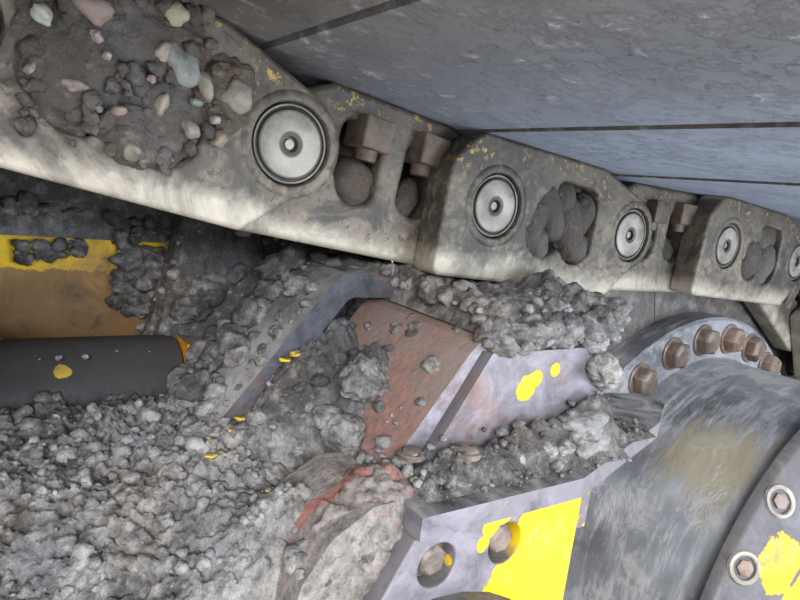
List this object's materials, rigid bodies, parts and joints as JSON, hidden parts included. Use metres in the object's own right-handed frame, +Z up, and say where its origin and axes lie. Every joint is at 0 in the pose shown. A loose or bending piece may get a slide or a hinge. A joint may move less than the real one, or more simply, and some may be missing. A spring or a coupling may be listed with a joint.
{
  "type": "crawler track undercarriage unit",
  "caption": "Left-hand track unit of a wide-shoe crawler dozer: track loop, roller frame, idler, rollers, recoil unit, sprocket, final drive and pivot guard.",
  "frame": {"origin": "on the ground under the middle of the unit's box", "axes": "+X rearwards, from the idler to the sprocket; +Y towards the machine's middle; +Z up"},
  "size_m": [4.3984, 0.915, 1.2296],
  "materials": {
    "shoe_steel": "dusty worn steel",
    "link_steel": "rusty, mud-stained",
    "worn_steel": "worn bright on treads",
    "drive_paint": "worn, dusty",
    "yellow_paint": "chipped",
    "bare_plate": "bare, dusty",
    "black_paint": "chipped",
    "dried_mud": "caked soil"
  },
  "bodies": {
    "track_unit": {"track_shoes": "shoe_steel", "track_outer_links": "link_steel", "track_inner_links": "link_steel", "track_bushings": "worn_steel", "sprocket_segments": "worn_steel", "idler": "worn_steel", "idler_shaft": "worn_steel", "track_rollers": "worn_steel", "carrier_rollers": "worn_steel", "carrier_shafts": "worn_steel", "roller_shafts": "worn_steel", "recoil_rod": "worn_steel", "sprocket_hub": "drive_paint", "final_drive_cover": "drive_paint", "idler_bearing_outer": "yellow_paint", "idler_bearing_inner": "yellow_paint", "idler_yoke": "yellow_paint", "carrier_beam": "yellow_paint", "roller_frame": "yellow_paint", "roller_guard_outer": "yellow_paint", "roller_guard_inner": "yellow_paint", "pivot_tube": "yellow_paint", "pivot_cap": "yellow_paint", "guard_cheek": "yellow_paint", "guard_top": "yellow_paint", "guard_post": "yellow_paint", "guard_rib": "yellow_paint", "guard_shoulder": "yellow_paint", "recoil_mount": "yellow_paint", "recoil_saddle": "yellow_paint", "equalizer_saddle": "yellow_paint", "mud_ramp": "bare_plate", "guard_hood": "bare_plate", "recoil_cylinder": "black_paint"},
    "pivot_shaft": {"pivot_shaft": "drive_paint"},
    "final_drive_case": {"final_drive_case": "drive_paint"}
  },
  "joints": [
    {"name": "frame_swing", "type": "hinge", "parent": "track_unit", "child": "pivot_shaft", "pos_m": [1.03389, 0, 0.64], "axis": [0, 1, 0], "range_deg": [-3, 3]},
    {"name": "sprocket_turn", "type": "hinge", "parent": "track_unit", "child": "final_drive_case", "pos_m": [1.65189, 0, 0.58], "axis": [0, 1, 0], "continuous": true}
  ]
}
